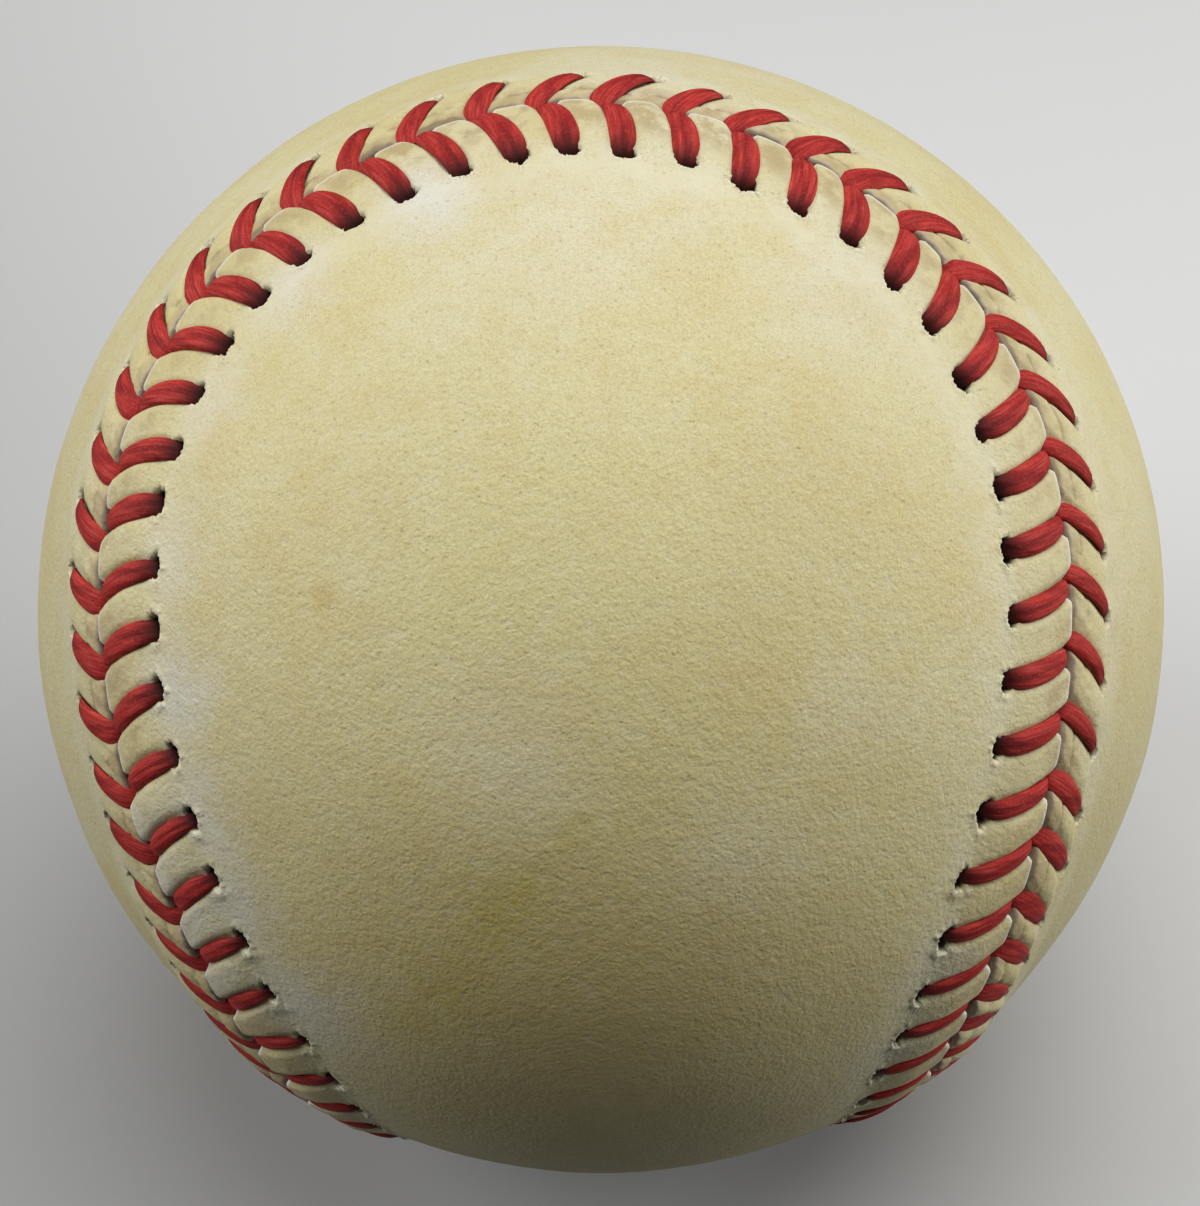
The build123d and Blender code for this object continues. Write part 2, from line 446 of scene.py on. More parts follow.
@dataclass(frozen=True)
class HoleShape:
    """A punched hole with its torn rim, and the flaps of grain that lift beside some holes.

    Rim values are shares of the hole's size. A flap zone's amount is how far ahead of the hole it lies.
    """

    depth: float = 1.0
    along: float = 0.74
    across: float = 0.46
    shift: float = 0.18
    lean: float = 0.20
    wall: Span = (0.74, 1.06)
    waves: tuple[int, ...] = (3, 5, 8, 13)
    raggedness: float = 0.05
    tight_tear: float = 0.5
    rim_height: float = 0.10
    rim_at: float = 1.16
    rim_width: float = 0.20
    rim_side: Span = (-0.9, 0.3)
    rim_torn: Span = (0.45, 0.7)
    rim_most: float = 1.2
    rim_notch: float = 4.0
    flaps: tuple[Zone, ...] = (Zone(16.5, 5.5, 0.72), Zone(88.0, 4.5, -0.68))
    flap_height: float = 0.12
    flap_ahead: Span = (0.9, 0.3)
    flap_width: float = 0.25
    flap_beyond: float = 0.12
    flap_length: Span = (0.45, 0.25)
    flap_notch: float = 3.0
    flap_power: float = 3.0
    flap_torn: float = 0.5
    flap_most: float = 1.1


@dataclass
class CoverPanel(CoverPiece):
    """One figure-eight of leather, drawn up into tabs between the legs of the seam."""

    side: Side
    seam: Seam
    lacing: Lacing
    leg: Leg
    name: str
    node: str
    lift: float = 0.62
    lift_at_lip: float = 1.0
    lift_crest: float = 1.0
    lift_flat: float = 1.6
    lift_end: float = 5.2
    lip_reach: float = -0.30
    lip_pull: float = 0.34
    pillow: float = 0.06
    crease: float = 0.0
    plump: tuple[Zone, ...] = ()
    hole: HoleShape = HoleShape()
    seed: int = 5

    # Rings across the lip: distance from the edge, fall below the face, and share of the cut edge
    LIP_PROFILE = (
        (0.16, 0.85, 0.2), (0.03, 0.52, 0.6), (0.00, 0.26, 1.0), (0.03, 0.11, 1.0),
        (0.09, 0.035, 1.0), (0.17, 0.005, 0.9), (0.26, 0.0, 0.35),
    )
    # Other rings: every so many columns, and distances from the seam
    UNDER_RINGS = ((8, 8.0), (4, 6.0), (2, 2.5))
    UNDER_LIP = 0.75
    FINE_RINGS = ((0.42, 3.3, 0.28), (3.4, 5.1, 0.12), (5.2, 6.5, 0.30))
    COARSE_RINGS = ((2, (6.7, 8.2, 0.40)), (4, (8.4, 9.4, 0.6)))
    LIP_FOLLOW = (0.3, 3.0)
    COLUMNS = 20
    GATHERING = 0.08
    FILL_STEP = 1.5
    FILL_CLEAR = 10.3
    UNDER_CLEAR = 9.4
    HEXAGON = 0.866

    # Tabs, valleys under the legs, and the strip's crease and wrinkles
    VALLEY_WIDTH = 0.74
    VALLEY_POWER = 5
    VALLEY_DEPTH = 0.05
    VALLEY_SHARE = 0.5
    TIGHT_LIFT = 0.14
    CORNER_AHEAD = 0.86
    CORNER_BEHIND = 0.72
    CORNER_POWER = 3.5
    PRESSED = (3.4, 5.0)
    TAB_FADE = (2.2, 4.2)
    FOLD_AT = 2.0
    FOLD_SWAYS = ((0.16, 1.9), (0.10, 4.7))
    FOLD_WIDTH = 0.16
    FOLD_SHADE = 0.20
    FOLD_SHARE = 2.2
    WRINKLE_PACE = 7.0
    WRINKLE_SLANT = 1.6
    WRINKLE_FADE = (1.2, 3.2)

    # Unevenness from piece to piece
    TAB_LIFT_SPREAD = 0.06
    TAB_REACH_SPREAD = 0.07
    HOLE_SIZES = (0.86, 1.18)
    DENT = 0.00875
    DENT_WAVES = 14
    DENT_PACES = (0.25, 0.9)

    MASKS = ("seam_distance", "edge", "pit", "rim", "tab", "valley", "fold")

    def __post_init__(self) -> None:
        """Draw the unevenness of the tabs, the holes and the hide."""
        draw = np.random.default_rng(self.seed)
        count, waves = self.seam.stitches, self.DENT_WAVES
        self._tab_lift = draw.normal(0, self.TAB_LIFT_SPREAD, count)
        self._tab_reach = draw.normal(0, self.TAB_REACH_SPREAD, count)
        self._hole_size = draw.uniform(*self.HOLE_SIZES, count)
        self._ragged = draw.normal(0, 1, (count, len(self.hole.waves), 2))
        self._torn = draw.uniform(0.0, 1.0, count)
        even = np.arange(count * self.COLUMNS) / self.COLUMNS - 0.5
        self._columns = even - self.GATHERING * np.sin(2 * np.pi * even)
        self._waves = unit(draw.normal(0, 1, (waves, 3))) * draw.uniform(*self.DENT_PACES, (waves, 1))
        self._phases = draw.uniform(0, 2 * np.pi, waves)

    def dents(self, directions: Array) -> Array:
        """Faint unevenness of the hide, as heights at directions from the ball's centre."""
        turns = directions @ self._waves.T * BALL_RADIUS + self._phases
        return np.sum(np.sin(turns), axis=-1) * self.DENT

    def _plain_lead(self, column: Array, distance: Array) -> Array:
        """Lead of an even leg.

        Args:
            column: the leg's stitch, in whole or part.
            distance: distance from the seam.

        Returns:
            Lead, counted in stitches.
        """
        reached = np.clip(1 - distance / self.lacing.hole_to_seam, 0, 1)
        slip = self.lacing.slip(self.side, column) * (1 - reached)
        return (self.leg.lead * reached**self.leg.sweep + slip) / self.seam.pitch

    def _leg_offset(self, place: Array, distance: Array) -> tuple[Array, ...]:
        """Nearest leg at places beside the seam.

        Args:
            place: places along the seam, counted in stitches.
            distance: distance from the seam.

        Returns:
            The leg's stitch, the tab's stitch, and how far ahead of the leg's middle the place is.
        """
        column = place - self._plain_lead(place, distance)
        stitch = np.round(place - self._plain_lead(column, distance)).astype(int)
        ahead = (place - stitch) * self.seam.pitch - self.lacing.lead_at(self.leg, stitch, distance)
        stitch = stitch % self.seam.stitches
        return stitch, np.where(ahead > 0, stitch, stitch - 1) % self.seam.stitches, ahead

    def lip(self, place: Array) -> Array:
        """Line of the panel's edge: out on the tabs, drawn in by each leg.

        Args:
            place: places along the seam, counted in stitches.

        Returns:
            The edge's distance from the seam.
        """
        _, tab, ahead = self._leg_offset(place, np.zeros_like(place))
        drawn = bell(ahead, np.where(ahead > 0, self.CORNER_AHEAD, self.CORNER_BEHIND), self.CORNER_POWER)
        reach = self.lip_reach + self._tab_reach[tab] * (1 - drawn)
        return reach + (self.lip_pull - self.lip_reach) * drawn

    def relief(self, place: Array, distance: Array) -> dict[str, Array]:
        """Shape of the leather beside the seam.

        Args:
            place: places along the seam, counted in stitches.
            distance: distance from the seam.

        Returns:
            Height over the ball, and masks of the pits, rims, tabs, valleys and the fold.
        """
        stitch, tab, ahead = self._leg_offset(place, distance)
        rise = 1 - smooth_step(self.lift_flat, self.lift_end, distance)
        rise *= self.lift_at_lip + (1 - self.lift_at_lip) * smooth_step(0, self.lift_crest, distance)
        pressed = 1 - smooth_step(*self.PRESSED, distance)
        valley = bell(ahead, self.VALLEY_WIDTH, self.VALLEY_POWER) * pressed
        crown = 0.5 - 0.5 * np.cos(np.clip(np.abs(ahead) / self.seam.pitch, 0, 0.5) * 2 * np.pi)
        lift = self.lift + self._tab_lift[tab] * crown + self.TIGHT_LIFT * self.lacing.tightness(stitch)
        height = lift * rise * (1 - self.VALLEY_SHARE * valley)
        pillow = self.pillow + self.lacing.total(self.plump, stitch)
        height += pillow * crown * pressed * rise - self.VALLEY_DEPTH * valley
        fold = np.zeros_like(height)
        if self.crease:
            from_fold = distance - self._fold(place)
            fold = bell(from_fold, self.FOLD_SHADE)
            turns = ahead * self.WRINKLE_PACE + self._phases[stitch % self.DENT_WAVES]
            wrinkle = np.sin(turns + self.WRINKLE_SLANT * distance) * (1 - valley)
            wrinkle *= 1 - smooth_step(*self.WRINKLE_FADE, distance)
            height += self.crease * (wrinkle - self.FOLD_SHARE * bell(from_fold, self.FOLD_WIDTH))
        pit, rim, raised = self._torn_hole(stitch, ahead, distance)
        height = height * (1 - pit) - self.hole.depth * pit + raised
        tab_mask = crown * (1 - valley) * (1 - smooth_step(*self.TAB_FADE, distance))
        return {"height": height, "pit": pit, "rim": rim, "tab": tab_mask, "valley": valley, "fold": fold}

    def _fold(self, place: Array) -> Array:
        """Distance from the seam of the crease along the strip beside it."""
        sways = zip(self.FOLD_SWAYS, self._phases)
        return self.FOLD_AT + sum(reach * np.sin(place * pace + phase) for (reach, pace), phase in sways)

    def _torn_hole(self, stitch: Array, ahead: Array, distance: Array) -> tuple[Array, Array, Array]:
        """Shape a stitch's hole.

        Args:
            stitch: the stitch's number.
            ahead: how far ahead of the leg's middle the place is.
            distance: distance from the seam.

        Returns:
            Masks of the pit and of its torn rim, and how far the rim and the flaps stand up.
        """
        hole = self.hole
        middle = self.lacing.hole_to_seam + hole.shift + self.lacing.hole_across[self.side][stitch]
        beside = (ahead + hole.lean * hole.along) / hole.along
        beyond = (distance - middle) / hole.across
        angle = np.arctan2(beyond, beside)
        ragged = np.zeros_like(angle)
        for number, wave in enumerate(hole.waves):
            cosine, sine = self._ragged[stitch, number].T
            ragged += cosine * np.cos(wave * angle) + sine * np.sin(wave * angle)
        ragged *= hole.raggedness
        ring = np.hypot(beside, beyond) / (self._hole_size[stitch] * (1 + ragged))
        pit = 1 - smooth_step(*hole.wall, ring)
        torn = self._torn[stitch] + hole.tight_tear * self.lacing.tightness(stitch)
        least, gain = hole.rim_torn
        rim = bell(ring - hole.rim_at - ragged, hole.rim_width) * smooth_step(*hole.rim_side, beyond)
        rim *= np.clip(least + gain * torn, 0, hole.rim_most)
        raised = hole.rim_height * rim * (1 + hole.rim_notch * ragged)
        for zone in hole.flaps:
            near, far = hole.flap_ahead
            short, long = hole.flap_length
            out = distance - middle - hole.flap_beyond - hole.flap_notch * ragged
            flap = bell(ahead - zone.amount * (near + far * torn), hole.flap_width, hole.flap_power)
            flap *= bell(out, short + long * torn, hole.flap_power)
            flap *= zone.share(stitch, self.seam.stitches) * np.clip(hole.flap_torn + torn, 0, hole.flap_most)
            raised += hole.flap_height * flap * (1 - pit)
            rim = np.maximum(rim, hole.flap_most * flap)
        return pit, rim, raised

    def _ring(
        self, shell: ShellBuilder, every: int, distance: Array,
        fall: float = 0.0, edge: float = 0.0, under: bool = False,
    ) -> Array:
        """Add one ring of the panel.

        Args:
            shell: the shell that gets the ring.
            every: 1 for all columns, 2 for every second one and so on.
            distance: each point's distance from the seam.
            fall: how far the ring lies below the outer face.
            edge: mask of the cut edge.
            under: whether the ring is on the flesh side instead.

        Returns:
            The ring's points.
        """
        columns = self._columns[::every]
        distance = np.broadcast_to(distance, columns.shape)
        place = columns + self._plain_lead(columns, distance)
        shape = self.relief(place, np.maximum(distance, 0.0))
        height = shape["height"] + self.dents(self.seam.frames(place)[0]) - fall
        if under:
            height = np.full_like(height, -LEATHER_THICKNESS)
        points = self.seam.points(place, self.side.value * distance, height)
        return shell.add(points, {**shape, "seam_distance": distance, "edge": edge})

    def _fill(self, shell: ShellBuilder, ring: Array, clear: float, step: float, inside: bool) -> None:
        """Close the middle of the panel beyond its band.

        Args:
            shell: the shell to close.
            ring: the band's last ring.
            clear: least distance of the points from the seam.
            step: about how far the points lie apart.
            inside: whether this is the wall under the leather.
        """
        count = int(4 * np.pi * BALL_RADIUS**2 / (self.HEXAGON * step**2))
        index = np.arange(count) + 0.5
        z = 1 - 2 * index / count
        turn = np.pi * (1 + 5**0.5) * index
        level = np.sqrt(1 - z * z)
        spots = np.stack([level * np.cos(turn), level * np.sin(turn), z], axis=1)
        reach, side = self.seam.distance(spots)
        kept = (side == self.side.value) & (reach > clear)
        height = np.full(kept.sum(), -LEATHER_THICKNESS) if inside else self.dents(spots[kept])
        inner = shell.add(spots[kept] * (BALL_RADIUS + height)[:, None], {"seam_distance": reach[kept]})
        shell.cap(ring, inner, self.seam.waist(self.side), not inside)

    def build(self) -> bpy.types.Object:
        """Model the panel as one closed shell.

        Returns:
            The panel.
        """
        shell = ShellBuilder(self.MASKS, self.side is Side.BACK)
        lip = self.lip(self._columns + self._plain_lead(self._columns, np.zeros_like(self._columns)))
        rings = [self._ring(shell, every, distance, under=True) for every, distance in self.UNDER_RINGS]
        rings.append(self._ring(shell, 1, lip + self.UNDER_LIP, under=True))
        rings += [self._ring(shell, 1, lip + inset, fall, edge) for inset, fall, edge in self.LIP_PROFILE]
        for offset in np.concatenate([np.arange(*span) for span in self.FINE_RINGS]):
            follow = 1 - smooth_step(*self.LIP_FOLLOW, offset)
            rings.append(self._ring(shell, 1, offset + lip * follow))
        for every, span in self.COARSE_RINGS:
            rings += [self._ring(shell, every, offset) for offset in np.arange(*span)]
        for first, last in zip(rings, rings[1:]):
            shell.bridge(first, last)
        self._fill(shell, rings[0], self.UNDER_CLEAR, 2 * self.FILL_STEP, inside=True)
        self._fill(shell, rings[-1], self.FILL_CLEAR, self.FILL_STEP, inside=False)
        piece = bpy.data.objects.new(self.name, shell.mesh(self.name))
        bpy.context.scene.collection.objects.link(piece)
        deselect_all()
        piece.select_set(True)
        bpy.context.view_layer.objects.active = piece
        bpy.ops.object.shade_smooth()
        return piece


@dataclass
class SeamThread(CoverPiece):
    """One needle's run of red thread: a leg on one panel, then under the leather to the other."""

    first_side: Side
    seam: Seam
    lacing: Lacing
    name: str
    node: str
    sides: int = 12
    belly: float = 0.62
    groove: float = 0.36
    groove_fade: float = 0.8
    groove_width: float = 0.3
    width_spread: float = 0.05
    lift_spread: float = 0.025
    tight_sink: float = 0.20
    tight_width: float = 0.10
    wedge: float = 0.66
    wedge_end: float = 0.6
    front_dive: float = 1.1
    dive_level: float = -0.3
    seed: int = 17

    WELD = 1e-7
    MASKS = ("along", "sideways", "tone")

    def _leg(self, draw: np.random.Generator, stitch: int) -> Array:
        """Work out one stitch's leg.

        Args:
            draw: source of the run's unevenness.
            stitch: the stitch's number.

        Returns:
            Rows of place, distance across, height, width, thickness, side, share of the way from the
            hole, tone and depth of the groove, with a column for each section.
        """
        side = self.first_side if stitch % 2 == 0 else Side(-self.first_side.value)
        front = side is Side.FRONT
        distance, level, wide, deep = np.array(LEGS[side].stations).T
        share = np.arange(len(distance)) / (len(distance) - 1)
        tight = self.lacing.tightness(stitch) if front else 0.0
        breadth = (1 + draw.normal(0, self.width_spread)) * self.lacing.breadth(side, stitch)
        lift = draw.normal(0, self.lift_spread) - self.tight_sink * tight
        tone = draw.uniform()
        ahead = self.lacing.lead_at(LEGS[side], stitch, distance)
        drawn = np.clip(distance / self.lacing.hole_to_seam, 0, 1) ** 2
        taper = np.maximum(0.0, 1 - share / self.wedge_end)
        rows = (
            stitch + ahead / self.seam.pitch,
            side.value * (distance + self.lacing.hole_across[side][stitch] * drawn),
            level + lift * (level > self.dive_level),
            wide * breadth * (1 - tight * (self.tight_width + self.wedge * taper)),
            deep,
            side.value,
            share ** (self.front_dive if front else 1.0),
            tone,
            self.groove * (1 - self.groove_fade * share),
        )
        return np.stack(np.broadcast_arrays(*rows))

    def _rings(self) -> tuple[Array, dict[str, Array]]:
        """Work out every section of the run.

        Returns:
            Points of the sections in order, and the masks of each point.
        """
        draw = np.random.default_rng(self.seed)
        legs = [self._leg(draw, stitch) for stitch in range(self.seam.stitches)]
        place, across, height, *rest = np.concatenate(legs, axis=1)
        width, thick, crown, along, tone, groove = (row[:, None] for row in rest)
        centres = self.seam.points(place, across, height)
        _, forward, to_front = self.seam.frames(place)
        tangent = unit(np.gradient(centres, axis=0))
        leads = np.where(crown > 0, FRONT_LEG.lead, BACK_LEG.lead)
        breadthwise = unit(forward * self.lacing.hole_to_seam + to_front * leads * crown)
        breadthwise = unit(breadthwise - tangent * np.sum(breadthwise * tangent, axis=1, keepdims=True))
        upward = unit(np.cross(tangent, breadthwise))
        angle = 2 * np.pi * np.arange(self.sides + 1) / self.sides
        sideways = np.cos(angle)[None, :]
        level = np.sin(angle)[None, :] * crown
        level = np.where(level > 0, level, level * self.belly)
        level = (level - bell(sideways, self.groove_width) * (level > 0) * groove) * crown
        points = centres[:, None] + breadthwise[:, None] * (sideways * width / 2)[..., None]
        points += upward[:, None] * (level * thick / 2)[..., None]
        masks = zip(self.MASKS, (along, sideways, tone))
        return points, {name: np.broadcast_to(mask, points.shape[:2]) for name, mask in masks}

    def build(self) -> bpy.types.Object:
        """Model the run from a grid that is rolled into a tube and led along the seam.

        Returns:
            The thread run.
        """
        points, masks = self._rings()
        rows, columns = points.shape[:2]
        deselect_all()
        bpy.ops.mesh.primitive_grid_add(x_subdivisions=columns - 1, y_subdivisions=rows - 1, size=2)
        piece = bpy.context.object
        piece.name = piece.data.name = self.name
        spots = np.zeros(rows * columns * 3)
        piece.data.vertices.foreach_get("co", spots)
        spots = spots.reshape(-1, 3)
        column = np.round((spots[:, 0] + 1) / 2 * (columns - 1)).astype(int)
        row = np.round((spots[:, 1] + 1) / 2 * (rows - 1)).astype(int)
        piece.data.vertices.foreach_set("co", (points[row, column] * MM).ravel())
        for name, values in masks.items():
            write_mask(piece.data, name, values[row, column])
        bpy.ops.object.mode_set(mode="EDIT")
        bpy.ops.mesh.select_all(action="SELECT")
        bpy.ops.mesh.remove_doubles(threshold=self.WELD)
        bpy.ops.mesh.fill_holes(sides=0)
        bpy.ops.mesh.select_all(action="SELECT")
        bpy.ops.mesh.normals_make_consistent(inside=False)
        bpy.ops.object.mode_set(mode="OBJECT")
        smooth = piece.modifiers.new("rounding", "SUBSURF")
        smooth.levels = smooth.render_levels = 1
        bpy.ops.object.modifier_apply(modifier=smooth.name)
        bpy.ops.object.shade_smooth()
        return piece


class Wire:
    """A shader value, with the arithmetic that adds Math nodes."""

    def __init__(self, sheet: "ShaderSheet", socket: bpy.types.NodeSocket) -> None:
        """Wrap an output socket of a sheet."""
        self.sheet = sheet
        self.socket = socket

    def _math(self, operation: str, *values: Any) -> "Wire":
        """Add a Math node that works out an operation on wires or numbers."""
        return self.sheet.node("ShaderNodeMath", {"operation": operation}, dict(enumerate(values)))

    def __add__(self, other: Any) -> "Wire":
        """This value plus another."""
        return self._math("ADD", self, other)

    __radd__ = __add__

    def __sub__(self, other: Any) -> "Wire":
        """This value less another."""
        return self._math("SUBTRACT", self, other)

    def __rsub__(self, other: Any) -> "Wire":
        """Another value less this one."""
        return self._math("SUBTRACT", other, self)

    def __mul__(self, other: Any) -> "Wire":
        """This value times another."""
        return self._math("MULTIPLY", self, other)

    __rmul__ = __mul__

    def sine(self) -> "Wire":
        """Sine of this value."""
        return self._math("SINE", self)

    def step(self, low: float, high: float, strength: float = 1.0) -> "Wire":
        """Eased step in this value.

        Args:
            low: value where the step is 0.
            high: value where it has its strength; the step falls where this is the smaller.
            strength: the step's height.

        Returns:
            The step.
        """
        if low > high:
            return strength - self.step(high, low, strength)
        inputs = {"Value": self, "From Min": low, "From Max": high, "To Max": strength}
        return self.sheet.node("ShaderNodeMapRange", {"interpolation_type": "SMOOTHSTEP"}, inputs)


class ShaderSheet:
    """The node tree of one material or of the world."""

    def __init__(self, owner: bpy.types.Material | bpy.types.World) -> None:
        """Start an empty tree.

        Args:
            owner: the material or the world.
        """
        self.owner = owner
        owner.use_nodes = True
        self.tree = owner.node_tree
        self.tree.nodes.clear()

    def node(self, kind: str, settings: dict[str, Any], inputs: dict[Any, Any], out: Any = 0) -> Wire:
        """Add a node.

        Args:
            kind: the node's type.
            settings: its properties.
            inputs: values or wires for its sockets, by name or number.
            out: the output that is used, by name or number.

        Returns:
            That output.
        """
        made = self.tree.nodes.new(kind)
        for key, value in settings.items():
            setattr(made, key, value)
        for key, value in inputs.items():
            if isinstance(value, Wire):
                self.tree.links.new(value.socket, made.inputs[key])
            else:
                made.inputs[key].default_value = value
        return Wire(self, made.outputs[out])

    def vector(self, operation: str, inputs: dict[Any, Any], out: Any = 0) -> Wire:
        """Add a Vector Math node; its inputs and its output are given as in node()."""
        return self.node("ShaderNodeVectorMath", {"operation": operation}, inputs, out)

    def places(self) -> Wire:
        """Object coordinates in millimetres."""
        coordinates = self.node("ShaderNodeTexCoord", {}, {}, "Object")
        return self.vector("SCALE", {0: coordinates, "Scale": 1 / MM})

    def mask(self, name: str) -> Wire:
        """A number that the piece's mesh holds for each point."""
        return self.node("ShaderNodeAttribute", {"attribute_name": name}, {}, "Fac")

    def ray(self, kind: str) -> Wire:
        """Whether the ray that sees the surface is of a kind."""
        return self.node("ShaderNodeLightPath", {}, {}, kind)

    def noise(
        self, places: Wire, scale: float, detail: float = 2.0, roughness: float = 0.5, out: str = "Fac"
    ) -> Wire:
        """Soft noise with a number of features per millimetre, as a number or a colour."""
        inputs = {"Vector": places, "Scale": scale, "Detail": detail, "Roughness": roughness}
        return self.node("ShaderNodeTexNoise", {}, inputs, out)

    def cells(self, places: Wire, scale: float, out: str = "Distance") -> Wire:
        """Scattered cells: distance from each cell's middle, or its colour."""
        return self.node("ShaderNodeTexVoronoi", {}, {"Vector": places, "Scale": scale}, out)

    def mix(self, factor: Any, first: Any, last: Any) -> Wire:
        """Blend of two colours.

        Args:
            factor: 0 for the first, 1 for the last.
            first: a wire or a colour.
            last: a wire or a colour.

        Returns:
            The blended colour.
        """
        inputs = {0: factor, 6: self._colour(first), 7: self._colour(last)}
        return self.node("ShaderNodeMix", {"data_type": "RGBA"}, inputs, 2)

    @staticmethod
    def _colour(value: Any) -> Any:
        """A wire as it is, or a colour with its alpha."""
        return value if isinstance(value, Wire) else (*value, 1.0)

    def bump(self, height: Wire, distance: float) -> Wire:
        """Normal of a surface whose relief, from 0 to 1, stands so many millimetres high."""
        return self.node("ShaderNodeBump", {}, {"Height": height, "Distance": distance * MM}, "Normal")

    def finish(self, colour: Any, roughness: Any, normal: Wire, **constants: Any) -> bpy.types.Material:
        """End the tree in one shader.

        Args:
            colour: base colour.
            roughness: roughness.
            normal: the surface's normal.
            constants: the shader's other sockets, with spaces written as underscores.

        Returns:
            The material.
        """
        inputs = {"Base Color": self._colour(colour), "Roughness": roughness, "Normal": normal}
        inputs.update({key.replace("_", " "): value for key, value in constants.items()})
        self.end(self.node("ShaderNodeBsdfPrincipled", {}, inputs, "BSDF"), "ShaderNodeOutputMaterial")
        return self.owner

    def end(self, shader: Wire, output: str) -> None:
        """Lead a shader to a new output node."""
        self.tree.links.new(shader.socket, self.tree.nodes.new(output).inputs["Surface"])

    @staticmethod
    def weigh(*parts: tuple[float, Wire]) -> Wire:
        """Sum of values, each times its share."""
        return sum(share * value for share, value in parts)


@dataclass(frozen=True)
class Viewpoint:
    """Where the camera stands, and how a pixel of its picture falls on the ball."""

    azimuth: float = 3.434
    elevation: float = 43.642
    roll: float = -4.98
    distance: float = 4 * BALL_RADIUS
    focal_pixels: float = 2182.0
    picture: tuple[int, int] = (1200, 1206)
    centre_pixel: tuple[float, float] = (601.0, 609.5)
    sensor: float = 36.0
    clip_start: float = 0.01

    def axes(self) -> tuple[Vector, Vector, Vector]:
        """Work out the camera's directions.

        Returns:
            Right, up and backwards.
        """
        turn, tip, roll = (math.radians(a) for a in (self.azimuth, self.elevation, self.roll))
        back = Vector((math.sin(turn) * math.cos(tip), -math.cos(turn) * math.cos(tip), math.sin(tip)))
        level = Vector((math.cos(turn), math.sin(turn), 0.0))
        steep = back.cross(level)
        right = level * math.cos(roll) + steep * math.sin(roll)
        return right, back.cross(right), back

    def on_ball(self, pixel: tuple[float, float]) -> Vector:
        """Point of the ball that a pixel shows.

        Args:
            pixel: place in the picture, from its top left corner.

        Returns:
            The point, in millimetres.
        """
        right, up, back = self.axes()
        aside = (pixel[0] - self.centre_pixel[0]) / self.focal_pixels
        above = (self.centre_pixel[1] - pixel[1]) / self.focal_pixels
        ray = (right * aside + up * above - back).normalized()
        eye = back * self.distance
        towards = -ray.dot(eye)
        inside = max(BALL_RADIUS**2 - (eye.length_squared - towards**2), 0.0)
        return eye + ray * (towards - math.sqrt(inside))

    def camera(self) -> None:
        """Set up the scene's camera."""
        right, up, back = self.axes()
        deselect_all()
        bpy.ops.object.camera_add()
        camera = bpy.context.object
        turn = Matrix((right, up, back)).transposed().to_4x4()
        camera.matrix_world = Matrix.Translation(back * self.distance * MM) @ turn
        camera.data.sensor_fit = "HORIZONTAL"
        camera.data.sensor_width = self.sensor
        camera.data.lens = self.focal_pixels / self.picture[0] * self.sensor
        camera.data.shift_x = (self.picture[0] / 2 - self.centre_pixel[0]) / self.picture[0]
        camera.data.shift_y = (self.centre_pixel[1] - self.picture[1] / 2) / self.picture[0]
        camera.data.clip_start = self.clip_start
        bpy.context.scene.camera = camera


@dataclass(frozen=True)
class Mark:
    """A soft patch on the cover, placed where a pixel shows it: mostly stains and cleaner patches, a few of
    them painted sheen and shade.
    """

    pixel: tuple[float, float]
    radius: float
    strength: float


